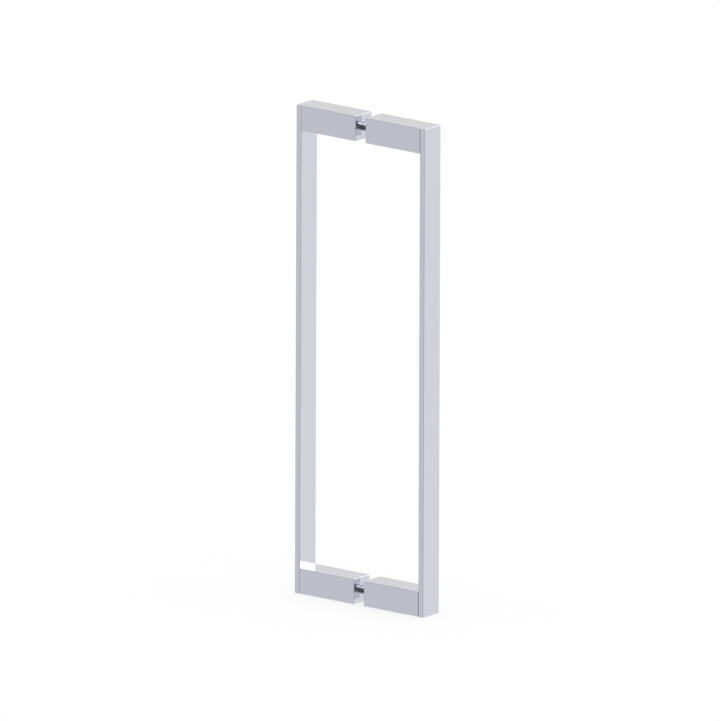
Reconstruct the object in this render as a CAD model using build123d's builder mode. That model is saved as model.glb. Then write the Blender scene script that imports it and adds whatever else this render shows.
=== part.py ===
from build123d import *
import os

# Back-to-back pull handle for a glass shower door, in millimetres. One handle stands on each face
# of the glass: a flat bar on two square posts. Two studs pass through the glass and hold the posts
# of the two handles together. X runs through the glass, Y across the width of the bars and Z up.
# The origin is the middle of the space for the glass, half-way between the two studs.

# Bars and posts
stud_spacing = 457.2  # between the two glass studs, centre to centre: 18 inches
section = 25.0  # side of the square posts, and width of the bars
bar_thickness = 6.0
post_length = 66.3  # from the glass end of a post to its bar
glass_gap = 12.0  # between the ends of facing posts
edge_radius = 0.8  # rounding of the long polished edges
end_bevel = 0.4  # bevel around the ends of the bars and the glass ends of the posts

# Thread of the studs and joint screws, and of the bore right through each post. A threaded length
# is a plain cylinder at the pitch diameter.
thread_size = 8.0  # nominal, and the diameter of a stud's plain shank
thread_pitch = 1.25
pitch_line = 0.6495  # drop from the nominal to the pitch diameter, in pitches
thread_clearance = 0.03  # all round
shank_lead = 0.3  # the countersink for the end of a stud's shank is wider than the shank by this
end_clearance = 0.3  # between the end of a screw or pin and the bottom of its hole

# Studs through the glass: a threaded end, a plain shank in the glass and a plain tail
stud_thread = 18.0  # length of the threaded end, in the outer post
stud_tail = 23.0  # length of the tail, in the inner post
tail_relief = 0.2  # the tail is smaller than the shank by this, all round
slide_clearance = 0.05  # all round, between the shank and a bore that it can slide into
groove_to_end = 6.0  # middle of the groove to the end of the tail
groove_depth = 0.8  # of the 90 degree groove for the locking screw
stud_key = 4.0  # across the flats of the hexagon socket in the tail
stud_key_depth = 4.0

# Headless screws that join each post to its bar
joint_length = 16.0
joint_key = 4.0
joint_key_depth = 5.0

# Dowels that keep each square post in line with its bar
dowel_size = 3.0
dowel_length = 8.0
dowel_edge = 4.0  # from the side of the post that faces the other post
dowel_clearance = 0.02  # all round
bar_skin = 1.2  # left under the blind holes in a bar

# Headless cone-point screws under the inner posts, which hold the tails of the studs
grub_size = 5.0
grub_pitch = 0.8
grub_sink = 1.3  # of the screw's outer end, below the underside of the post
grub_key = 2.5
grub_key_depth = 2.6
grub_flat = 0.4  # across the flat tip of the 90 degree cone point
grub_clearance = 0.03  # between the cone and the groove

sides = {"outer": 1, "inner": -1}
levels = {"upper": 1, "lower": -1}

thread_radius = (thread_size - pitch_line * thread_pitch) / 2
grub_radius = (grub_size - pitch_line * grub_pitch) / 2
shank_radius = thread_size / 2
tail_radius = shank_radius - tail_relief
sliding_radius = shank_radius + slide_clearance
groove_radius = tail_radius - groove_depth
groove_place = stud_tail - groove_to_end  # from the glass end of the inner post
bar_hole_depth = bar_thickness - bar_skin
bar_reach = bar_hole_depth - end_clearance  # of a screw or dowel, in the bar
dowel_offset = section / 2 - dowel_edge


def across(side, level, depth=0.0, rise=0.0):
    """Plane across a post, depth in from its glass end and facing the glass, with local Y up."""
    return Plane(
        origin=(side * (glass_gap / 2 + depth), 0, level * stud_spacing / 2 + rise),
        x_dir=(0, -side, 0),
        z_dir=(-side, 0, 0),
    )


def dowel_rise(level):
    """Height of a dowel above the middle of its post: it lies toward the middle of the bar."""
    return -level * dowel_offset


def make_bar(side_name, side):
    """Flat bar, with a blind tapped hole and a dowel hole behind each of its two posts."""
    middle = Vector(side * (glass_gap / 2 + post_length + bar_thickness / 2), 0, 0)
    with BuildPart() as bar:
        with BuildSketch(Plane(origin=middle)):
            RectangleRounded(bar_thickness, section, edge_radius)
        extrude(amount=(stud_spacing + section) / 2, both=True)
        chamfer(bar.faces().filter_by(Axis.Z).edges(), length=end_bevel)
        with Locations(*[across(side, level, post_length) for level in levels.values()]):
            Hole(thread_radius + thread_clearance, bar_hole_depth)
        with Locations(
            *[across(side, level, post_length, dowel_rise(level)) for level in levels.values()]
        ):
            Hole(dowel_size / 2 + dowel_clearance, bar_hole_depth)
    bar.part.label = f"{side_name}_bar"
    export_step(bar.part, f"parts/{bar.part.label}.step")


def make_post(side_name, side, level_name, level):
    """Square post, tapped right through, with its stud in one end and its joint screw in the other."""
    with BuildPart() as post:
        with BuildSketch(across(side, level)):
            RectangleRounded(section, section, edge_radius)
        extrude(amount=-post_length)
        glass_end = post.faces().sort_by(Axis((0, 0, 0), (side, 0, 0)))[0]
        chamfer(glass_end.edges(), length=end_bevel)
        with Locations(across(side, level)):
            if side_name == "outer":
                CounterSinkHole(thread_radius + thread_clearance, shank_radius + shank_lead, None, 90)
            else:
                CounterBoreHole(
                    thread_radius + thread_clearance, sliding_radius, stud_tail + end_clearance
                )
        with Locations(-across(side, level, post_length, dowel_rise(level))):
            Hole(dowel_size / 2 + dowel_clearance, dowel_length - bar_reach + end_clearance)
        if side_name == "inner":
            underside = post.faces().sort_by(Axis.Z)[0]
            hole_mouth = Plane(
                origin=across(side, level, groove_place, -section / 2).origin,
                z_dir=underside.normal_at(),
            )
            with Locations(hole_mouth):
                Hole(grub_radius + thread_clearance, section / 2)
    post.part.label = f"{side_name}_{level_name}_post"
    export_step(post.part, f"parts/{post.part.label}.step")


def make_joint_screw(side_name, side, level_name, level):
    """Headless screw across the seam between a post and its bar, driven from the glass end."""
    driven_end = across(side, level, post_length + bar_reach - joint_length)
    with BuildPart() as screw:
        with BuildSketch(driven_end):
            Circle(thread_radius)
        extrude(amount=-joint_length)
        with BuildSketch(driven_end):
            RegularPolygon(joint_key / 2, 6, major_radius=False)
        extrude(amount=-joint_key_depth, mode=Mode.SUBTRACT)
    screw.part.label = f"{side_name}_{level_name}_joint_screw"
    export_step(screw.part, f"parts/{screw.part.label}.step")


def make_dowel(side_name, side, level_name, level):
    """Pin across the seam between a post and its bar, beside the joint screw."""
    post_end = across(side, level, post_length + bar_reach - dowel_length, dowel_rise(level))
    with BuildPart() as dowel:
        with BuildSketch(post_end):
            Circle(dowel_size / 2)
        extrude(amount=-dowel_length)
    dowel.part.label = f"{side_name}_{level_name}_dowel"
    export_step(dowel.part, f"parts/{dowel.part.label}.step")


def make_glass_stud(level_name, level):
    """Turned stud from the tapped bore of the outer post to the plain bore of the inner post."""
    glass = glass_gap / 2  # from the middle of the glass to either post
    tip = glass + stud_thread
    tail = -glass - stud_tail
    groove = -glass - groove_place
    lengthwise = Plane(origin=(0, 0, level * stud_spacing / 2), x_dir=(1, 0, 0), z_dir=(0, -1, 0))
    with BuildPart() as stud:
        with BuildSketch(lengthwise):
            with BuildLine():
                Polyline(
                    (tail, 0),
                    (tail, tail_radius),
                    (groove - groove_depth, tail_radius),
                    (groove, groove_radius),
                    (groove + groove_depth, tail_radius),
                    (-glass, tail_radius),
                    (-glass, shank_radius),
                    (glass, shank_radius),
                    (glass, thread_radius),
                    (tip, thread_radius),
                    (tip, 0),
                    close=True,
                )
            make_face()
        revolve(axis=Axis(lengthwise.origin, lengthwise.x_dir))
        with BuildSketch(-across(sides["inner"], level, stud_tail)):
            RegularPolygon(stud_key / 2, 6, major_radius=False)
        extrude(amount=-stud_key_depth, mode=Mode.SUBTRACT)
    stud.part.label = f"{level_name}_glass_stud"
    export_step(stud.part, f"parts/{stud.part.label}.step")


def make_grub_screw(level_name, level):
    """Headless screw under the inner post, its cone seated in the groove of the stud."""
    axis_point = across(sides["inner"], level, groove_place).origin
    upright = Plane(origin=axis_point, x_dir=(1, 0, 0), z_dir=(0, 1, 0))  # local Y runs down
    cone_tip = groove_radius + grub_flat / 2 + grub_clearance
    cone_end = cone_tip + grub_radius - grub_flat / 2
    driven_end = section / 2 - grub_sink
    with BuildPart() as grub:
        with BuildSketch(upright):
            with BuildLine():
                Polyline(
                    (0, cone_tip),
                    (grub_flat / 2, cone_tip),
                    (grub_radius, cone_end),
                    (grub_radius, driven_end),
                    (0, driven_end),
                    close=True,
                )
            make_face()
        revolve(axis=Axis(upright.origin, upright.y_dir))
        with BuildSketch(Plane(origin=axis_point - Vector(0, 0, driven_end), z_dir=(0, 0, -1))):
            RegularPolygon(grub_key / 2, 6, major_radius=False)
        extrude(amount=-grub_key_depth, mode=Mode.SUBTRACT)
    grub.part.label = f"{level_name}_grub_screw"
    export_step(grub.part, f"parts/{grub.part.label}.step")


os.makedirs("parts", exist_ok=True)
for side_name, side in sides.items():
    make_bar(side_name, side)
    for level_name, level in levels.items():
        make_post(side_name, side, level_name, level)
        make_joint_screw(side_name, side, level_name, level)
        make_dowel(side_name, side, level_name, level)
for level_name, level in levels.items():
    make_glass_stud(level_name, level)
    make_grub_screw(level_name, level)
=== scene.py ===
"""Looks of a back-to-back pull handle for a glass shower door.

Every piece is a closed surface worked out with numpy in the place of its solid: polished bars and
posts with finely rounded edges, bored and tapped inside, and turned studs and screws with their
threads. Lengths are in metres, and MM turns millimetres into metres.
"""

import logging
import math
from collections.abc import Callable
from dataclasses import dataclass, field
from enum import Enum

import bpy
import numpy as np
from mathutils import Matrix, Vector
from mathutils.geometry import tessellate_polygon


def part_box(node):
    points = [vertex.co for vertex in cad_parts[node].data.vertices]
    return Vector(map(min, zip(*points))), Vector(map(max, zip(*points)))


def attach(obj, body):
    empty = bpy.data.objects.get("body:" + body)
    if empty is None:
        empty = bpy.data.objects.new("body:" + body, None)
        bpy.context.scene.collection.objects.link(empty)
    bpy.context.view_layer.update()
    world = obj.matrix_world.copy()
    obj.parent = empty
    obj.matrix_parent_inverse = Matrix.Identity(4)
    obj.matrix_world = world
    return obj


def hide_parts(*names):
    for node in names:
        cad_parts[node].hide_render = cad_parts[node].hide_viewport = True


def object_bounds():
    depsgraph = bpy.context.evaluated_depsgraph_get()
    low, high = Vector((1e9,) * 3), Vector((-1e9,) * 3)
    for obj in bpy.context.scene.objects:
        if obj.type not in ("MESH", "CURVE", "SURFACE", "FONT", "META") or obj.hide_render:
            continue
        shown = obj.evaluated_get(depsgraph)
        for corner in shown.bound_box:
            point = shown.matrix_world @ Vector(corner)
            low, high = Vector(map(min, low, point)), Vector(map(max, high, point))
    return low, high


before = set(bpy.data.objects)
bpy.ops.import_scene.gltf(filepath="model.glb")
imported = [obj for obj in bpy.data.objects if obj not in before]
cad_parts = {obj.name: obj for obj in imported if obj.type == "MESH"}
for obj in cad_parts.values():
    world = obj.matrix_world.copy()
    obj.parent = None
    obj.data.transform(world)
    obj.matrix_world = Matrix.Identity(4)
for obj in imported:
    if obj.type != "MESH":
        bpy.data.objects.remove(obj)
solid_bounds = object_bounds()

log = logging.getLogger("pull_handle")

MM = 0.001
MICRON = 1e-6
X, Y, Z = np.eye(3)  # directions of the frame
WHITE = (1.0, 1.0, 1.0, 1.0)
WELD = 1e-8  # points closer than this are one point
ROUND_STEPS = 8  # steps in the quarter turn of a rounded edge
TURN_STEPS = 72  # steps around a turned surface or a hole
WINDOW_STEPS = 9  # of those, on each side of the locking hole, in the wall it opens into
THREAD_ROWS = 12  # rows of points along one pitch of a thread
HEXAGON = 6  # sides of a socket


class End(Enum):
    """One of two ends, which gives its pieces a word of their names."""

    @property
    def label(self) -> str:
        """Word in the names of this end's pieces."""
        return self.name.lower()


class Side(End):
    """The two faces of the glass, by the direction of X away from it."""

    OUTER = 1
    INNER = -1


class Level(End):
    """The two ends of the bars, by the direction of Z."""

    UPPER = 1
    LOWER = -1


class Point(Enum):
    """How the leading end of a headless screw is finished."""

    FLAT = "flat"
    CONE = "cone"


@dataclass(frozen=True)
class Axes:
    """Right-handed axes of a piece: a and b lie across it, and w = a x b runs along it."""

    origin: np.ndarray
    a: np.ndarray
    b: np.ndarray

    @property
    def w(self) -> np.ndarray:
        """Unit vector along the piece."""
        return np.cross(self.a, self.b)

    def turn(self, local: np.ndarray) -> np.ndarray:
        """Turns local directions (a, b, w) into the frame's directions."""
        return local @ np.stack([self.a, self.b, self.w])

    def place(self, local: np.ndarray) -> np.ndarray:
        """Turns local points (a, b, w) into the frame's points."""
        return self.origin + self.turn(local)

    def local(self, points: np.ndarray) -> np.ndarray:
        """Turns the frame's points into local points (a, b, w)."""
        return (points - self.origin) @ np.stack([self.a, self.b, self.w]).T

    def ring(self, radius: float, along: float) -> np.ndarray:
        """Circle about w: (r cos t, r sin t, along) for TURN_STEPS equal steps of t."""
        return self.place(radius * spokes(ring_angles()) + along * Z)

    def hexagon(self, flats: float, along: float) -> np.ndarray:
        """Hexagon about w, with its width across the flats, in the plane at a place along w."""
        angle = (np.arange(HEXAGON) + 0.5) * 2 * np.pi / HEXAGON
        return self.place(flats / 2 / math.cos(math.pi / HEXAGON) * spokes(angle) + along * Z)


@dataclass(frozen=True)
class Solid:
    """The box that a CAD node fills."""

    low: np.ndarray
    high: np.ndarray

    @classmethod
    def of(cls, node: str) -> "Solid":
        """Box of the named node at rest."""
        low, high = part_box(node)
        return cls(np.array(low), np.array(high))

    @property
    def centre(self) -> np.ndarray:
        """Middle of the box."""
        return (self.low + self.high) / 2

    @property
    def size(self) -> np.ndarray:
        """Lengths of the box's sides."""
        return self.high - self.low

    def along(self, axes: Axes) -> np.ndarray:
        """Places along w where the box starts and ends."""
        return np.sort(axes.local(np.stack([self.low, self.high]))[:, 2])


def ring_angles() -> np.ndarray:
    """Angles of the points around a turned surface."""
    return np.arange(TURN_STEPS) * 2 * np.pi / TURN_STEPS


def spokes(angle: np.ndarray) -> np.ndarray:
    """Unit vectors (cos t, sin t, 0) at the angles t about w."""
    return np.stack([np.cos(angle), np.sin(angle), np.zeros_like(angle)], axis=-1)


def unit(vectors: np.ndarray) -> np.ndarray:
    """Vectors divided by their lengths."""
    return vectors / np.linalg.norm(vectors, axis=-1, keepdims=True)


@dataclass(frozen=True)
class Thread:
    """Rounded metric thread, whose crest climbs one pitch along w in a right-handed turn.

    The radius is the pitch radius plus half the depth times a cosine of the phase
    w / pitch - angle / turn, stretched and clipped so that crests and roots are nearly flat.
    """

    size: float
    pitch: float
    depth_share: float = 0.6134  # depth of the thread, in pitches
    stretch: float = 1.3
    spare_share: float = 0.1  # of the depth: a drill is wider than the root by it, an end slimmer

    @property
    def depth(self) -> float:
        """Height of the crest above the root."""
        return self.depth_share * self.pitch

    @property
    def crest(self) -> float:
        """Radius at the crest."""
        return self.size / 2

    @property
    def root(self) -> float:
        """Radius at the root."""
        return self.crest - self.depth

    @property
    def drill(self) -> float:
        """Radius of the drill for a tapped hole."""
        return self.root + self.spare_share * self.depth

    @property
    def end(self) -> float:
        """Radius where the cones of a screw start, at its flat end or beside its shank."""
        return self.root - self.spare_share * self.depth

    def radius(self, angle: np.ndarray, along: np.ndarray) -> np.ndarray:
        """Radius at each angle about w and each place along it."""
        wave = np.cos(2 * np.pi * along / self.pitch - angle)
        return self.crest - self.depth / 2 * (1 - np.clip(self.stretch * wave, -1.0, 1.0))


class Shell:
    """One closed surface, collected as faces whose every corner has its own normal."""

    def __init__(self) -> None:
        """Starts with no faces."""
        self.points: list[np.ndarray] = []
        self.normals: list[np.ndarray] = []
        self.faces: list[np.ndarray] = []
        self.total = 0

    def add(self, points: np.ndarray, normals: np.ndarray, faces: np.ndarray) -> None:
        """Adds faces, each turned to face the way that its corners' normals point.

        Args:
            points: Places of the corners.
            normals: Direction of the true surface at each point.
            faces: Indices into points, three or four to a row.
        """
        corners = points[faces]
        facing = np.cross(corners[:, 2] - corners[:, 0], corners[:, -1] - corners[:, 1])
        if faces.shape[1] == 3:
            facing = np.cross(corners[:, 1] - corners[:, 0], corners[:, 2] - corners[:, 0])
        wrong = np.einsum("ij,ij->i", facing, normals[faces].sum(axis=1)) < 0
        self.faces.append(np.where(wrong[:, None], faces[:, ::-1], faces) + self.total)
        self.points.append(points)
        self.normals.append(normals)
        self.total += len(points)

    def grid(self, points: np.ndarray, normals: np.ndarray, around: bool = False) -> None:
        """Adds the quads between neighbours of a grid of points.

        Args:
            points: Array of rows by columns by 3.
            normals: Direction of the true surface at each point, or one row for all rows.
            around: Whether the last column joins the first.
        """
        rows, columns = points.shape[:2]
        index = np.arange(rows * columns).reshape(rows, columns)
        if around:
            index = np.concatenate([index, index[:, :1]], axis=1)
        quads = np.stack([index[:-1, :-1], index[:-1, 1:], index[1:, 1:], index[1:, :-1]], axis=-1)
        facing = np.broadcast_to(normals, points.shape).reshape(-1, 3)
        self.add(points.reshape(-1, 3), facing, quads.reshape(-1, 4))

    def fill(self, normal: np.ndarray, *loops: np.ndarray) -> None:
        """Adds a flat face inside the first loop and outside the others.

        Args:
            normal: Direction that the face looks.
            loops: Closed lines of points in the face's plane.
        """
        points = np.concatenate(loops)
        self.add(points, np.broadcast_to(normal, points.shape), triangles_of(loops))

    def turned(self, axes: Axes, profile: list[tuple[float, float]], hole: bool = False) -> None:
        """Adds a surface turned about w: each stretch of the profile swept round by the angle.

        Args:
            axes: Axes of the turned surface.
            profile: Points (radius, place along w), in the order of growing w.
            hole: Whether the surface faces the axis, as the wall of a hole does.
        """
        across = spokes(ring_angles())
        facing = -1.0 if hole else 1.0
        for (near_radius, near), (far_radius, far) in zip(profile, profile[1:]):
            slope = facing * unit(np.array([far - near, near_radius - far_radius]))
            normals = axes.turn(slope[0] * across + slope[1] * Z)
            rows = np.stack([axes.ring(near_radius, near), axes.ring(far_radius, far)])
            self.grid(rows, normals, around=True)

    def threaded(
        self,
        axes: Axes,
        low: float,
        high: float,
        radius: Callable[[np.ndarray, np.ndarray], np.ndarray],
        pitch: float,
        hole: bool = False,
    ) -> None:
        """Adds a threaded surface: radius(angle, w) about w, with normals by differences.

        Args:
            axes: Axes of the thread.
            low: Where it starts along w.
            high: Where it ends along w.
            radius: Radius of the surface at each angle and place.
            pitch: Length of one turn, which sets how many rows there are.
            hole: Whether the surface faces the axis.
        """
        rows = math.ceil((high - low) / pitch * THREAD_ROWS) + 1
        along, angle = np.meshgrid(np.linspace(low, high, rows), ring_angles(), indexing="ij")
        reach = radius(angle, along)
        local = np.stack([reach * np.cos(angle), reach * np.sin(angle), along], axis=-1)
        up = np.gradient(local, axis=0)
        round_about = np.roll(local, -1, axis=1) - np.roll(local, 1, axis=1)
        normals = unit(np.cross(round_about, up)) * (-1.0 if hole else 1.0)
        self.grid(axes.place(local), axes.turn(normals), around=True)

    def socket(self, axes: Axes, flats: float, low: float, depth: float) -> np.ndarray:
        """Adds a hexagon socket that opens at low and goes depth along w.

        Args:
            axes: Axes of the screw.
            flats: Width across the flats.
            low: Place of the mouth along w.
            depth: Depth of the socket.

        Returns:
            The mouth's corners, which the face around it leaves open.
        """
        mouth, floor = axes.hexagon(flats, low), axes.hexagon(flats, low + depth)
        next_mouth, next_floor = np.roll(mouth, -1, axis=0), np.roll(floor, -1, axis=0)
        walls = np.stack([mouth, next_mouth, next_floor, floor], axis=1)
        inward = unit(axes.place((low + depth / 2) * Z) - walls.mean(axis=1))
        faces = np.arange(4 * HEXAGON).reshape(-1, 4)
        self.add(walls.reshape(-1, 3), np.repeat(inward, 4, axis=0), faces)
        self.fill(-axes.w, floor)
        return mouth

    def build(self, name: str) -> bpy.types.Object:
        """Joins the faces where they meet, and makes the object.

        Args:
            name: Name of the piece.

        Returns:
            The object, at the origin, with its place in its mesh.
        """
        points = np.concatenate(self.points)
        normals = np.concatenate(self.normals)
        _, first, joined = np.unique(
            np.round(points / WELD), axis=0, return_index=True, return_inverse=True
        )
        faces = [joined.reshape(-1)[part] for part in self.faces]
        mesh = bpy.data.meshes.new(name)
        mesh.from_pydata(points[first], [], [face for part in faces for face in part.tolist()])
        mesh.polygons.foreach_set("use_smooth", np.ones(len(mesh.polygons), dtype=bool))
        corners = np.concatenate([part.reshape(-1) for part in self.faces])
        mesh.normals_split_custom_set(normals[corners].tolist())
        # On a closed surface each edge is a side of two faces
        whole = len(mesh.loops) == 2 * len(mesh.edges)
        log.info("%s: %d faces, closed: %s", name, len(mesh.polygons), whole)
        piece = bpy.data.objects.new(name, mesh)
        bpy.context.scene.collection.objects.link(piece)
        return piece


def triangles_of(loops: tuple[np.ndarray, ...]) -> np.ndarray:
    """Triangles inside the first loop and outside the others, as indices of all their points."""
    return np.array(tessellate_polygon([loop.tolist() for loop in loops]))


@dataclass
class RoundedBlock:
    """Block with rounded edges along w and around both ends.

    The sides are flats joined by quarter cylinders. Around an end, the outline shrinks by
    e (1 - cos t) while it moves out by e sin t, as t grows from nothing to a quarter turn.
    """

    axes: Axes
    width_a: float
    width_b: float
    length: float
    edge: float
    low_edge: float
    high_edge: float
    seam_share: float = 1.0  # share of the ends' rounding that eats into the -a side
    holes: dict[str, list[np.ndarray]] = field(default_factory=dict)

    def lifted(self, flat: np.ndarray, along: float) -> np.ndarray:
        """Points of the plane of a and b, set at a place along w."""
        return self.axes.place(np.concatenate([flat, np.full((len(flat), 1), along)], axis=1))

    def section(self) -> tuple[np.ndarray, np.ndarray]:
        """Works out the outline across w: four quarter arcs, joined by straight sides.

        Returns:
            Points and outward normals, in the plane of a and b.
        """
        quarter = np.linspace(0, np.pi / 2, ROUND_STEPS + 1)
        normals = spokes((np.arange(4)[:, None] * np.pi / 2 + quarter).reshape(-1))[:, :2]
        half = np.array([self.width_a, self.width_b]) / 2 - self.edge
        centres = np.array([[1, 1], [-1, 1], [-1, -1], [1, -1]]) * half
        return np.repeat(centres, ROUND_STEPS + 1, axis=0) + self.edge * normals, normals

    def end_row(self, edge: float, turn: float) -> tuple[np.ndarray, np.ndarray]:
        """Works out one row of an end's rounding.

        Each point of the outline moves in against its normal n by edge (1 - cos turn) W n, where
        W keeps only the seam's share of the move on the -a side. The row's own normal m is
        square to the moved outline, and leans out by tan turn times (W n) . m.

        Args:
            edge: Radius of the rounding.
            turn: How far it has turned from the sides, in radians.

        Returns:
            Points in the plane of a and b, and normals along a, b and outward.
        """
        flat, side = self.section()
        inset = edge * (1 - math.cos(turn))
        weight = np.where(side[:, :1] < 0, [[self.seam_share, 1.0]], [[1.0, 1.0]])
        ahead = np.stack([-side[:, 1], side[:, 0]], axis=-1)
        ahead = ahead * (self.edge - inset * weight)
        facing = unit(np.stack([ahead[:, 1], -ahead[:, 0]], axis=-1))
        lean = (weight * side * facing).sum(axis=1, keepdims=True)
        normals = np.concatenate([math.cos(turn) * facing, math.sin(turn) * lean], axis=1)
        return flat - inset * weight * side, unit(normals)

    def add_end(self, shell: Shell, direction: float) -> None:
        """Adds the rounding and the flat of one end.

        Args:
            shell: Surface that gets the faces.
            direction: -1 for the low end, 1 for the high end.
        """
        edge = self.high_edge if direction > 0 else self.low_edge
        face = self.length if direction > 0 else 0.0
        points, normals = [], []
        for turn in np.linspace(0, np.pi / 2, ROUND_STEPS + 1):
            flat, leaning = self.end_row(edge, turn)
            points.append(self.lifted(flat, face - direction * edge * (1 - math.sin(turn))))
            normals.append(self.axes.turn(leaning * [1.0, 1.0, direction]))
        shell.grid(np.stack(points), np.stack(normals), around=True)
        shell.fill(direction * self.axes.w, points[-1], *self.holes.get(f"{direction:+.0f}w", []))

    def add_sides(self, shell: Shell) -> None:
        """Adds the four flats and the four rounded edges along w.

        Args:
            shell: Surface that gets the faces.
        """
        flat, side = self.section()
        near = self.lifted(flat, self.low_edge)
        far = self.lifted(flat, self.length - self.high_edge)
        normals = self.axes.turn(np.concatenate([side, np.zeros((len(side), 1))], axis=1))
        steps = ROUND_STEPS + 1
        for corner, name in enumerate(("+b", "-a", "-b", "+a")):
            arc = slice(corner * steps, (corner + 1) * steps)
            shell.grid(np.stack([near[arc], far[arc]]), normals[arc])
            here, ahead = corner * steps + ROUND_STEPS, (corner + 1) * steps % len(flat)
            panel = np.stack([near[here], near[ahead], far[ahead], far[here]])
            shell.fill(normals[here], panel, *self.holes.get(name, []))

    def add_to(self, shell: Shell) -> None:
        """Adds the whole block to a shell.

        Args:
            shell: Surface that gets the faces.
        """
        self.add_end(shell, -1.0)
        self.add_sides(shell)
        self.add_end(shell, 1.0)


def linear(colour: str) -> tuple[float, float, float, float]:
    """Turns a colour to linear values by the sRGB curve.

    Args:
        colour: sRGB colour, as six hex digits.

    Returns:
        Linear red, green and blue, and full alpha.
    """
    values = np.array([int(colour[i : i + 2], 16) for i in (0, 2, 4)]) / 255
    light = np.where(values <= 0.04045, values / 12.92, ((values + 0.055) / 1.055) ** 2.4)
    return (*light.tolist(), 1.0)


def add_node(
    tree: bpy.types.NodeTree, kind: str, inputs: dict | None = None, **settings: object
) -> bpy.types.Node:
    """Adds one node.

    Args:
        tree: Tree that gets the node.
        kind: Blender's name of the node type.
        inputs: Values or links of its inputs, by their names or numbers.
        settings: Properties of the node.

    Returns:
        The new node.
    """
    node = tree.nodes.new(kind)
    for name, value in settings.items():
        setattr(node, name, value)
    for key, value in (inputs or {}).items():
        if isinstance(value, bpy.types.NodeSocket):
            tree.links.new(value, node.inputs[key])
        else:
            node.inputs[key].default_value = value
    return node


@dataclass(frozen=True)
class Unevenness:
    """Spots of a surface that are rougher than the rest."""

    spots: tuple[float, float, float]  # size of the largest ones, along X, Y and Z
    detail: float  # how many times the spots are repeated, each time at half the size
    reach: float  # the noise counts as nil or full this far from its middle
    extra: float  # roughness that the full noise adds

    def dress(
        self,
        tree: bpy.types.NodeTree,
        shader: bpy.types.Node,
        place: bpy.types.NodeSocket,
        roughness: float,
    ) -> None:
        """Adds the spots to a material, as a noise of the place divided by their size.

        Args:
            tree: The material's nodes.
            shader: Shader that gets the roughness.
            place: Place on the surface.
            roughness: Roughness where there is no spot.
        """
        counted = add_node(tree, "ShaderNodeVectorMath", {0: place, 1: self.spots}, operation="DIVIDE")
        noise = add_node(
            tree,
            "ShaderNodeTexNoise",
            {"Vector": counted.outputs[0], "Scale": 1.0, "Detail": self.detail},
        )
        spread = add_node(
            tree,
            "ShaderNodeMapRange",
            {
                "Value": noise.outputs["Fac"],
                "From Min": 0.5 - self.reach,
                "From Max": 0.5 + self.reach,
                "To Min": roughness,
                "To Max": roughness + self.extra,
            },
        )
        tree.links.new(spread.outputs["Result"], shader.inputs["Roughness"])


class Marks(Enum):
    """What a tool leaves: the texture node, and its scale for marks of unit size."""

    BUFFED = ("ShaderNodeTexNoise", 1.0)
    TURNED = ("ShaderNodeTexWave", 2 * math.pi / 20)  # that node takes 20 times its place along X


@dataclass(frozen=True)
class Relief:
    """Shallow ups and downs, which bend what a surface reflects."""

    marks: Marks
    size: float
    height: float

    def dress(
        self, tree: bpy.types.NodeTree, shader: bpy.types.Node, place: bpy.types.NodeSocket
    ) -> None:
        """Adds the marks to a material, as bumps.

        Args:
            tree: The material's nodes.
            shader: Shader that gets the bumps.
            place: Place on the surface.
        """
        kind, unit_scale = self.marks.value
        inputs = {"Vector": place, "Scale": unit_scale / self.size, "Detail": 0.0}
        bump = add_node(
            tree,
            "ShaderNodeBump",
            {
                "Height": add_node(tree, kind, inputs).outputs["Fac"],
                "Distance": self.height,
                "Strength": 1.0,
            },
        )
        tree.links.new(bump.outputs["Normal"], shader.inputs["Normal"])


@dataclass(frozen=True)
class Finish:
    """How a metal surface of the handle is finished."""

    slot: str  # material slot of the record
    word: str  # last word in the names of the pieces
    colour: str  # sRGB, as six hex digits
    roughness: float
    uneven: Unevenness | None = None
    relief: Relief | None = None

    def material(self) -> bpy.types.Material:
        """Makes the finish's material once, to be shared.

        Returns:
            The material.
        """
        name = type(self).__name__
        if name in bpy.data.materials:
            return bpy.data.materials[name]
        material = bpy.data.materials.new(name)
        material.use_nodes = True
        tree = material.node_tree
        shader = tree.nodes["Principled BSDF"]
        shader.inputs["Base Color"].default_value = linear(self.colour)
        shader.inputs["Metallic"].default_value = 1.0
        shader.inputs["Roughness"].default_value = self.roughness
        place = add_node(tree, "ShaderNodeTexCoord").outputs["Object"]
        if self.uneven:
            self.uneven.dress(tree, shader, place, self.roughness)
        if self.relief:
            self.relief.dress(tree, shader, place)
        return material


@dataclass(frozen=True)
class PolishedChromePlate(Finish):
    """Bright chromium plate on buffed brass.

    It gives near-perfect reflections with a faint cold tint. Buffing leaves very shallow waves in
    the flats, which bend long reflections a little, and a haze too fine to see as scratches.
    """

    slot: str = "polished_chrome"
    word: str = "plated"
    colour: str = "C3C3CC"
    roughness: float = 0.03
    uneven: Unevenness = Unevenness(spots=(9 * MM, 9 * MM, 9 * MM), detail=4.0, reach=0.15, extra=0.03)
    relief: Relief = Relief(Marks.BUFFED, size=45 * MM, height=6 * MICRON)


@dataclass(frozen=True)
class TurnedStainlessSteel(Finish):
    """Stainless steel finish-turned in a lathe, as on the glass studs.

    Fine rings around the axis blur the reflections along it. The feed is finer than can show, so
    the rings are drawn several times as coarse.
    """

    slot: str = "stud_steel"
    word: str = "turned"
    colour: str = "A9A9AE"
    roughness: float = 0.05
    relief: Relief = Relief(Marks.TURNED, size=0.5 * MM, height=0.5 * MICRON)


@dataclass(frozen=True)
class RolledStainlessSteel(Finish):
    """Cold-formed stainless steel with rolled threads, as on headless screws.

    It is duller than the turned studs, and slightly mottled where the dies have pressed it.
    """

    slot: str = "fastener_steel"
    word: str = "threaded"
    colour: str = "A7A7A9"
    roughness: float = 0.28
    uneven: Unevenness = Unevenness(
        spots=(1.5 * MM, 1.5 * MM, 1.5 * MM), detail=3.0, reach=0.2, extra=0.14
    )


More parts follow.
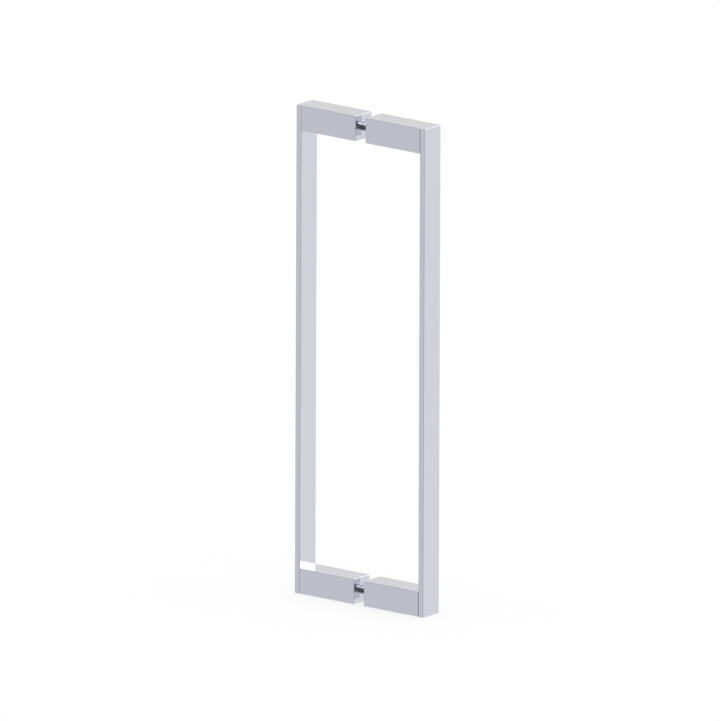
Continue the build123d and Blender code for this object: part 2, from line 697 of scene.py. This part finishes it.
@dataclass(frozen=True)
class GroundSteel(Finish):
    """Hardened steel ground between wheels, as on dowels.

    It is even and bright, with faint streaks around the pin, as the wheel leaves them.
    """

    slot: str = "fastener_steel"
    word: str = "ground"
    colour: str = "B4B3B1"
    roughness: float = 0.16
    uneven: Unevenness = Unevenness(spots=(0.4 * MM, 6 * MM, 6 * MM), detail=2.0, reach=0.2, extra=0.1)


def put_in_place(shell: Shell, node: str, finish: Finish) -> None:
    """Makes a piece, dresses it and puts it in the place of its solid.

    Args:
        shell: Surface of the piece.
        node: CAD node that it stands for.
        finish: How its surface is finished.
    """
    piece = shell.build(f"{node}_{finish.word}")
    piece.data.materials.append(finish.material())
    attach(piece, "root")
    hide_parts(node)
    log.info("%s stands for %s, finish %s", piece.name, node, type(finish).__name__)


POST_THREAD = Thread(size=8 * MM, pitch=1.25 * MM)  # of the bores, studs and joint screws
LOCKING_THREAD = Thread(size=5 * MM, pitch=0.8 * MM)
FIT = 0.03 * MM  # between a screw's thread and the thread that it turns in
LEAD = 0.3 * MM  # a tapped hole's mouth is wider than its thread by this, all round
END_SPACE = 0.3 * MM  # between the end of a screw or pin and the bottom of its hole
PIN_FIT = 0.02 * MM  # between a dowel and its hole


def post_axes(side: Side, level: Level) -> Axes:
    """Works out the axes of a post.

    Args:
        side: Face of the glass that the post stands on.
        level: End of the bar that it carries.

    Returns:
        Axes from the middle of its glass end, with w away from the glass and b up.
    """
    solid = Solid.of(f"{side.label}_{level.label}_post")
    glass_end = solid.low[0] if side is Side.OUTER else solid.high[0]
    origin = np.array([glass_end, *solid.centre[1:]])
    return Axes(origin, side.value * Y, Z)


def locking_axes(level: Level) -> Axes:
    """Works out the axes of a locking screw.

    Args:
        level: End of the bar where the screw's post is.

    Returns:
        Axes from the mouth of the screw's hole, under the inner post, with w up.
    """
    post = Solid.of(f"{Side.INNER.label}_{level.label}_post")
    screw = Solid.of(f"{level.label}_grub_screw")
    return Axes(np.array([*screw.centre[:2], post.low[2]]), X, Y)


def tapped(
    shell: Shell, axes: Axes, thread: Thread, mouth: tuple[float, float], end: tuple[float, float]
) -> None:
    """Adds the wall of a tapped hole, whose thread runs out in a cone at both ends.

    The radius is the screw's plus the fit, no less than the tap drill's or the cones that open
    towards the mouth and the end.

    Args:
        shell: Surface that gets the wall.
        axes: Axes of the hole.
        thread: Thread of the screw that fits it.
        mouth: Place along w and radius at the start.
        end: Place along w and radius at the end.
    """

    def radius(angle: np.ndarray, along: np.ndarray) -> np.ndarray:
        """Gives the wall's radius.

        Args:
            angle: Angles about w.
            along: Places along w.

        Returns:
            The radius at each angle and place.
        """
        cut = np.maximum(thread.radius(angle, along), thread.drill) + FIT
        if end[1] < thread.crest:
            cut = np.minimum(cut, end[1] + (end[0] - along))
        else:
            cut = np.maximum(cut, end[1] - (end[0] - along))
        return np.maximum(cut, mouth[1] - (along - mouth[0]))

    shell.threaded(axes, mouth[0], end[0], radius, thread.pitch, hole=True)


@dataclass
class SquarePost:
    """Square post between the glass and a bar, tapped right through.

    The inner post's bore is opened out from the glass end to take the plain tail of the stud, and
    a locking screw's hole comes up into it from the underside.
    """

    side: Side
    level: Level
    edge: float = 0.8 * MM
    glass_edge: float = 0.6 * MM
    seam_edge: float = 0.25 * MM
    shank_lead: float = 0.3 * MM
    slide: float = 0.05 * MM
    window_reach: float = 3.6 * MM  # half length of the stretch of bore around the locking hole
    plain_wall: float = 0.2 * MM  # least length of the locking hole between its thread and the bore

    def build(self) -> None:
        """Makes the post."""
        name = f"{self.side.label}_{self.level.label}_post"
        solid = Solid.of(name)
        axes = post_axes(self.side, self.level)
        length, width = solid.size[0], solid.size[1]
        glass_mouth = POST_THREAD.crest + self.shank_lead
        bar_mouth = POST_THREAD.crest + FIT + LEAD
        shell = Shell()
        block = RoundedBlock(axes, width, width, length, self.edge, self.glass_edge, self.seam_edge)
        block.holes["-1w"] = [axes.ring(glass_mouth, 0.0)]
        block.holes["+1w"] = [axes.ring(bar_mouth, length), self.add_dowel_hole(shell, length)]
        mouth = (0.0, glass_mouth)
        if self.side is Side.INNER:
            depth = self.add_sliding_bore(shell, axes, glass_mouth, block)
            mouth = (depth, POST_THREAD.crest + FIT)
        tapped(shell, axes, POST_THREAD, mouth, (length, bar_mouth))
        block.add_to(shell)
        put_in_place(shell, name, PolishedChromePlate())

    def add_dowel_hole(self, shell: Shell, length: float) -> np.ndarray:
        """Adds the dowel's hole in the bar end.

        Args:
            shell: Surface that gets the hole.
            length: Length of the post.

        Returns:
            The loop of its mouth.
        """
        dowel = Solid.of(f"{self.side.label}_{self.level.label}_dowel")
        post = post_axes(self.side, self.level)
        origin = np.array([post.place(length * Z)[0], *dowel.centre[1:]])
        axes = Axes(origin, post.b, post.a)
        radius = dowel.size[1] / 2 + PIN_FIT
        depth = length - dowel.along(post)[0] + END_SPACE
        shell.turned(axes, [(radius, 0.0), (radius, depth)], hole=True)
        shell.fill(-axes.w, axes.ring(radius, depth))
        return axes.ring(radius, 0.0)

    def add_sliding_bore(self, shell: Shell, axes: Axes, mouth: float, block: RoundedBlock) -> float:
        """Adds the plain bore for the stud's tail, with the locking hole that opens into it.

        Args:
            shell: Surface that gets the walls.
            axes: Axes of the post.
            mouth: Radius of the countersink at the glass end.
            block: The post's outside, which gets the locking hole's mouth.

        Returns:
            Depth of the bore.
        """
        radius = POST_THREAD.crest + self.slide
        depth = Solid.of(f"{self.level.label}_glass_stud").along(axes)[1] + END_SPACE
        hole = locking_axes(self.level)
        cut = (LOCKING_THREAD.crest + FIT) * spokes(ring_angles())
        _, below, middle = axes.local(hole.origin)
        rise = -below - np.sqrt(radius**2 - cut[:, 1] ** 2)
        curve = hole.place(cut + np.outer(rise, Z))
        start, stop = middle - self.window_reach, middle + self.window_reach
        shell.turned(axes, [(mouth, 0.0), (radius, mouth - radius), (radius, start)], hole=True)
        tapped_radius = POST_THREAD.crest + FIT
        shell.turned(axes, [(radius, stop), (radius, depth), (tapped_radius, depth)], hole=True)
        self.add_window(shell, axes, radius, (start, stop), curve)
        self.add_locking_wall(shell, hole, curve, block)
        return depth

    def add_window(
        self,
        shell: Shell,
        axes: Axes,
        radius: float,
        reach: tuple[float, float],
        curve: np.ndarray,
    ) -> None:
        """Adds the stretch of the bore's wall that the locking hole opens into.

        Around the hole the wall is a patch, filled in the unrolled plane of (place along w,
        radius times angle) and then rolled back.

        Args:
            shell: Surface that gets the wall.
            axes: Axes of the bore.
            radius: Radius of the bore.
            reach: Where the stretch starts and stops along w.
            curve: The hole's edge in the wall.
        """
        below = TURN_STEPS * 3 // 4  # the step that points straight down
        window = np.arange(below - WINDOW_STEPS, below + WINDOW_STEPS + 1)
        others = np.arange(window[-1], window[0] + TURN_STEPS + 1) % TURN_STEPS
        rows = np.stack([axes.ring(radius, place)[others] for place in reach])
        inward = unit(axes.place(reach[0] * Z) - rows[0])
        shell.grid(rows, inward)
        border = radius * ring_angles()[window]
        sides = (border, border[::-1])
        edge = np.concatenate(
            [np.stack([np.full_like(side, end), side], axis=-1) for end, side in zip(reach, sides)]
        )
        local = axes.local(curve)
        turn = np.arctan2(local[:, 1], local[:, 0]) % (2 * np.pi)
        opening = np.stack([local[:, 2], radius * turn], axis=-1)
        flat = np.concatenate([edge, opening])
        across = spokes(flat[:, 1] / radius)
        rolled = axes.place(radius * across + np.outer(flat[:, 0], Z))
        shell.add(rolled, axes.turn(-across), triangles_of((edge, opening)))

    def add_locking_wall(
        self, shell: Shell, hole: Axes, curve: np.ndarray, block: RoundedBlock
    ) -> None:
        """Adds the wall of the locking hole: tapped from its mouth, then plain up to the bore.

        Args:
            shell: Surface that gets the wall.
            hole: Axes of the hole.
            curve: The hole's edge in the bore's wall.
            block: The post's outside, which gets the hole's mouth.
        """
        crest = LOCKING_THREAD.crest + FIT
        mouth = crest + LEAD
        ledge = hole.local(curve)[:, 2].min() - self.plain_wall
        tapped(shell, hole, LOCKING_THREAD, (0.0, mouth), (ledge, crest))
        rows = np.stack([hole.ring(crest, ledge), curve])
        inward = unit(hole.place(ledge * Z) - rows[0])
        shell.grid(rows, inward, around=True)
        block.holes["-b"] = [hole.ring(mouth, 0.0)]


@dataclass
class GripBar:
    """Flat bar that the hand holds, with blind holes behind its two posts."""

    side: Side
    edge: float = 0.8 * MM
    end_edge: float = 0.45 * MM
    seam_share: float = 0.2

    def build(self) -> None:
        """Makes the bar."""
        name = f"{self.side.label}_bar"
        solid = Solid.of(name)
        away = self.side.value * X
        axes = Axes(np.array([*solid.centre[:2], solid.low[2]]), away, np.cross(Z, away))
        shell = Shell()
        block = RoundedBlock(
            axes, *solid.size, self.edge, self.end_edge, self.end_edge, self.seam_share
        )
        block.holes["-a"] = [mouth for level in Level for mouth in self.add_holes(shell, solid, level)]
        block.add_to(shell)
        put_in_place(shell, name, PolishedChromePlate())

    def add_holes(self, shell: Shell, solid: Solid, level: Level) -> list[np.ndarray]:
        """Adds the tapped hole and the dowel hole behind one post.

        Args:
            shell: Surface that gets the holes' walls.
            solid: The bar's solid.
            level: Which post.

        Returns:
            The loops of their mouths.
        """
        post = post_axes(self.side, level)
        screw = Solid.of(f"{self.side.label}_{level.label}_joint_screw")
        dowel = Solid.of(f"{self.side.label}_{level.label}_dowel")
        seam = solid.along(post)[0]
        floor = screw.along(post)[1] + END_SPACE
        drill = POST_THREAD.root + FIT
        mouth = POST_THREAD.crest + FIT + LEAD
        tapped(shell, post, POST_THREAD, (seam, mouth), (floor, drill))
        shell.fill(-post.w, post.ring(drill, floor))
        pin = Axes(np.array([post.origin[0], *dowel.centre[1:]]), post.a, post.b)
        radius = dowel.size[1] / 2 + PIN_FIT
        shell.turned(pin, [(radius, seam), (radius, floor)], hole=True)
        shell.fill(-pin.w, pin.ring(radius, floor))
        return [post.ring(mouth, seam), pin.ring(radius, seam)]


@dataclass
class HeadlessScrew:
    """Screw threaded on its whole length, with a hexagon socket in its driven end."""

    name: str
    axes: Axes
    thread: Thread
    key: float
    key_depth: float
    point: Point
    cone_tip: float = 0.2 * MM  # radius of the tip of a cone point
    flat_share: float = 0.3  # of the thread's depth, taken off the radius of a flat point

    def build(self) -> None:
        """Makes the screw: a thread within the cones of its two ends."""
        low, high = Solid.of(self.name).along(self.axes)
        thread = self.thread
        tip = thread.end - self.flat_share * thread.depth
        if self.point is Point.CONE:
            tip = self.cone_tip

        def radius(angle: np.ndarray, along: np.ndarray) -> np.ndarray:
            """Radius of the thread, cut by a cone at each end."""
            ends = np.minimum(thread.end + along - low, tip + high - along)
            return np.minimum(thread.radius(angle, along), ends)

        shell = Shell()
        shell.threaded(self.axes, low, high, radius, thread.pitch)
        mouth = shell.socket(self.axes, self.key, low, self.key_depth)
        shell.fill(-self.axes.w, self.axes.ring(thread.end, low), mouth)
        shell.fill(self.axes.w, self.axes.ring(tip, high))
        put_in_place(shell, self.name, RolledStainlessSteel())


@dataclass
class Dowel:
    """Ground pin with bevelled ends."""

    side: Side
    level: Level
    bevel: float = 0.4 * MM

    def build(self) -> None:
        """Makes the pin."""
        name = f"{self.side.label}_{self.level.label}_dowel"
        solid = Solid.of(name)
        axes = Axes(np.array([solid.low[0], *solid.centre[1:]]), Y, Z)
        length, radius = solid.size[0], solid.size[1] / 2
        end = radius - self.bevel
        shell = Shell()
        profile = [(end, 0.0), (radius, self.bevel), (radius, length - self.bevel), (end, length)]
        shell.turned(axes, profile)
        shell.fill(-axes.w, axes.ring(end, 0.0))
        shell.fill(axes.w, axes.ring(end, length))
        put_in_place(shell, name, GroundSteel())


@dataclass
class PullHandle:
    """The handle on one face of the glass: a bar, its posts, and what joins them."""

    side: Side
    key: float = 4 * MM
    key_depth: float = 5 * MM

    def build(self) -> None:
        """Makes the bar, and for each level the post, the joint screw and the dowel."""
        GripBar(self.side).build()
        for level in Level:
            SquarePost(self.side, level).build()
            name = f"{self.side.label}_{level.label}_joint_screw"
            axes = post_axes(self.side, level)
            HeadlessScrew(name, axes, POST_THREAD, self.key, self.key_depth, Point.FLAT).build()
            Dowel(self.side, level).build()
        log.info("%s handle built", self.side.label)


@dataclass
class GlassFixing:
    """The stud through the glass at one level, and the screw that locks it."""

    level: Level
    tail: float = 3.8 * MM  # radius of the tail
    tail_bevel: float = 0.8 * MM
    shank_bevel: float = 0.15 * MM
    groove_depth: float = 0.8 * MM
    key: float = 4 * MM
    key_depth: float = 4 * MM
    locking_key: float = 2.5 * MM
    locking_key_depth: float = 2.6 * MM

    def build(self) -> None:
        """Makes the stud and its locking screw."""
        self.build_stud()
        name, axes = f"{self.level.label}_grub_screw", locking_axes(self.level)
        key, depth = self.locking_key, self.locking_key_depth
        HeadlessScrew(name, axes, LOCKING_THREAD, key, depth, Point.CONE).build()
        log.info("%s glass fixing built", self.level.label)

    def build_stud(self) -> None:
        """Makes the stud: a socketed tail with a groove, a plain shank and a threaded end."""
        name = f"{self.level.label}_glass_stud"
        axes = post_axes(Side.OUTER, self.level)
        start, tip = Solid.of(name).along(axes)
        gap = axes.local(post_axes(Side.INNER, self.level).origin)[2]
        groove = axes.local(locking_axes(self.level).origin)[2]
        shank, root = POST_THREAD.crest, POST_THREAD.end
        shell = Shell()
        shell.turned(
            axes,
            [
                (self.tail - self.tail_bevel, start),
                (self.tail, start + self.tail_bevel),
                (self.tail, groove - self.groove_depth),
                (self.tail - self.groove_depth, groove),
                (self.tail, groove + self.groove_depth),
                (self.tail, gap),
                (shank - self.shank_bevel, gap),
                (shank, gap + self.shank_bevel),
                (shank, -self.shank_bevel),
                (shank - self.shank_bevel, 0.0),
                (root, 0.0),
            ],
        )

        def radius(angle: np.ndarray, along: np.ndarray) -> np.ndarray:
            """Radius of the thread, cut by a cone at its start and at the tip."""
            ends = root + np.minimum(along, tip - along)
            return np.minimum(POST_THREAD.radius(angle, along), ends)

        shell.threaded(axes, 0.0, tip, radius, POST_THREAD.pitch)
        shell.fill(axes.w, axes.ring(root, tip))
        mouth = shell.socket(axes, self.key, start, self.key_depth)
        shell.fill(-axes.w, axes.ring(self.tail - self.tail_bevel, start), mouth)
        put_in_place(shell, name, TurnedStainlessSteel())


def bearing(azimuth: float, elevation: float) -> tuple[Vector, Vector, Vector]:
    """Works out the directions of something that is seen from the handle.

    Args:
        azimuth: Degrees around Z, which grow from -Y towards +X.
        elevation: Degrees up from the level.

    Returns:
        Unit vectors out to it, and to the right and up for an eye there that looks back.
    """
    turn, lift = math.radians(azimuth), math.radians(elevation)
    level = math.cos(lift)
    out = Vector((math.sin(turn) * level, -math.cos(turn) * level, math.sin(lift)))
    right = Vector((math.cos(turn), math.sin(turn), 0.0))
    return out, right, out.cross(right)


@dataclass(frozen=True)
class Card:
    """A softbox or a flag far off, which polished metal reflects.

    Its light fades smoothly over the feather at its edges. Its angles are in degrees.
    """

    name: str
    azimuth: float
    elevation: float
    width: float
    height: float
    feather: float
    level: float  # 1 being white

    def share(self, tree: bpy.types.NodeTree, ray: bpy.types.NodeSocket) -> bpy.types.NodeSocket:
        """Adds the nodes that say how much of the card a ray's direction meets.

        The direction is measured against the card's own axes: the angle to the right is
        atan2(right, ahead), the angle up is atan2(up, ahead), and each fades by a smooth step.

        Args:
            tree: The world's nodes.
            ray: Direction of the ray.

        Returns:
            The share, from 0 to 1.
        """
        dots = [
            add_node(tree, "ShaderNodeVectorMath", {0: ray, 1: axis}, operation="DOT_PRODUCT")
            for axis in bearing(self.azimuth, self.elevation)
        ]
        ahead, right, up = (dot.outputs["Value"] for dot in dots)
        shares = []
        for aside, span in ((right, self.width), (up, self.height)):
            angle = add_node(tree, "ShaderNodeMath", {0: aside, 1: ahead}, operation="ARCTAN2")
            off = add_node(tree, "ShaderNodeMath", {0: angle.outputs[0]}, operation="ABSOLUTE")
            fade = add_node(
                tree,
                "ShaderNodeMapRange",
                {
                    "Value": off.outputs[0],
                    "From Min": math.radians(span + self.feather) / 2,
                    "From Max": math.radians(span - self.feather) / 2,
                },
                interpolation_type="SMOOTHSTEP",
            )
            shares.append(fade.outputs["Result"])
        both = add_node(tree, "ShaderNodeMath", {0: shares[0], 1: shares[1]}, operation="MULTIPLY")
        return both.outputs[0]


@dataclass
class Studio:
    """White studio: a pale floor under the handle, even light, and cards for the metal."""

    # Camera, from the photo's 720 by 721 pixels: its scale and the handle's centre in it
    azimuth: float = 38.25
    elevation: float = 14.10
    roll: float = 0.209
    pixel: float = 0.9576 * MM
    image_size: tuple[float, float] = (720.0, 721.0)
    handle_centre: tuple[float, float] = (367.73, 358.76)
    distance: float = 2.0
    # Floor
    floor_size: float = 6.0
    floor_colour: str = "F4F4F6"
    floor_glow: float = 1.043  # makes the open floor exactly white
    glow_share: float = 0.7  # of the floor's look, the rest being paint that takes a shadow
    # Cards and tones around the handle, 1 being white
    sky: tuple[float, float, float, float] = (1.01, 1.01, 0.985, 1.0)
    ground: tuple[float, float, float, float] = (0.934, 0.934, 0.955, 1.0)
    horizon: float = 0.2  # the ground fades to the sky between this far below the level and above
    cards: tuple[Card, ...] = (
        Card("reflector, low behind on the right", 142, -24, 60, 40, 16, 1.155),
        Card("key strip, behind on the right", 142, 7, 24, 22, 12, 3.3),
        Card("overhead softbox, on the right", 112, 62, 80, 40, 14, 3.4),
        Card("fill, low behind on the left", 218, -15, 22, 18, 10, 1.48),
        Card("grey flag, around the camera", 39, 3, 30, 52, 12, 0.35),
        Card("dark flag, low on the right", 50, -34, 34, 32, 14, 0.14),
        Card("grey flag, above on the left", 312, 28, 44, 18, 10, 0.25),
        Card("grey flag, low on the left", 294, -14, 36, 16, 8, 0.35),
    )

    def build(self) -> None:
        """Makes the camera, the light and the floor."""
        self.build_camera()
        self.build_world()
        self.build_floor()
        log.info("studio built, with %d cards", len(self.cards))

    def build_camera(self) -> None:
        """Makes the orthographic camera at the photo's angle, aimed so that pixels agree."""
        back, right, up = bearing(self.azimuth, self.elevation)
        roll = math.radians(self.roll)
        image_right = math.cos(roll) * right + math.sin(roll) * up
        image_up = math.cos(roll) * up - math.sin(roll) * right
        low, high = solid_bounds
        off_right = (self.handle_centre[0] - self.image_size[0] / 2) * self.pixel
        off_up = (self.image_size[1] / 2 - self.handle_centre[1]) * self.pixel
        aim = (low + high) / 2 - off_right * image_right - off_up * image_up
        data = bpy.data.cameras.new("camera")
        data.type = "ORTHO"
        data.sensor_fit = "VERTICAL"
        data.ortho_scale = self.image_size[1] * self.pixel
        camera = bpy.data.objects.new("camera", data)
        camera.matrix_world = Matrix.Translation(aim + self.distance * back) @ Matrix(
            (image_right, image_up, back)
        ).transposed().to_4x4()
        bpy.context.scene.collection.objects.link(camera)
        bpy.context.scene.camera = camera

    def build_world(self) -> None:
        """Makes the surroundings: white to the camera, even to the floor, cards to the metal."""
        world = bpy.data.worlds.new("studio")
        bpy.context.scene.world = world
        world.use_nodes = True
        tree = world.node_tree
        tree.nodes.clear()
        ray = add_node(tree, "ShaderNodeTexCoord").outputs["Generated"]
        height = add_node(tree, "ShaderNodeSeparateXYZ", {0: ray}).outputs["Z"]
        rise = add_node(
            tree,
            "ShaderNodeMapRange",
            {"Value": height, "From Min": -self.horizon, "From Max": self.horizon},
            interpolation_type="SMOOTHSTEP",
        )
        layers = [("sky", rise.outputs["Result"], self.sky)]
        for card in self.cards:
            tone = (card.level, card.level, card.level, 1.0)
            layers.append((card.name, card.share(tree, ray), tone))
        seen = self.ground
        for name, share, tone in layers:
            mixed = add_node(
                tree, "ShaderNodeMix", {0: share, 6: seen, 7: tone}, label=name, data_type="RGBA"
            )
            seen = mixed.outputs[2]
        path = add_node(tree, "ShaderNodeLightPath")
        sharp = add_node(
            tree,
            "ShaderNodeMath",
            {0: path.outputs["Is Glossy Ray"], 1: path.outputs["Is Transmission Ray"]},
            operation="MAXIMUM",
        )
        shown = add_node(
            tree, "ShaderNodeMix", {0: sharp.outputs[0], 6: WHITE, 7: seen}, data_type="RGBA"
        )
        background = add_node(
            tree, "ShaderNodeBackground", {"Color": shown.outputs[2], "Strength": 1.0}
        )
        add_node(tree, "ShaderNodeOutputWorld", {"Surface": background.outputs[0]})

    def build_floor(self) -> None:
        """Makes the floor, which the metal sees through to the studio's own low tones."""
        half = self.floor_size / 2
        level = solid_bounds[0].z
        mesh = bpy.data.meshes.new("floor")
        corners = [(x * half, y * half, level) for x, y in ((-1, -1), (1, -1), (1, 1), (-1, 1))]
        mesh.from_pydata(corners, [], [(0, 1, 2, 3)])
        floor = bpy.data.objects.new("floor", mesh)
        bpy.context.scene.collection.objects.link(floor)
        floor.visible_glossy = False
        material = bpy.data.materials.new("matt_white_floor")
        material.use_nodes = True
        tree = material.node_tree
        tree.nodes.clear()
        paint = add_node(tree, "ShaderNodeBsdfDiffuse", {"Color": linear(self.floor_colour)})
        glow = add_node(tree, "ShaderNodeEmission", {"Color": WHITE, "Strength": self.floor_glow})
        mixed = add_node(
            tree,
            "ShaderNodeMixShader",
            {0: self.glow_share, 1: paint.outputs[0], 2: glow.outputs[0]},
        )
        add_node(tree, "ShaderNodeOutputMaterial", {"Surface": mixed.outputs[0]})
        mesh.materials.append(material)


def main() -> None:
    """Builds the studio, the two handles and the fixings through the glass."""
    logging.basicConfig(level=logging.INFO, format="%(name)s: %(message)s")
    bpy.context.scene.view_settings.view_transform = "Standard"
    Studio().build()
    for side in Side:
        PullHandle(side).build()
    for level in Level:
        GlassFixing(level).build()


if __name__ == "__main__":
    main()
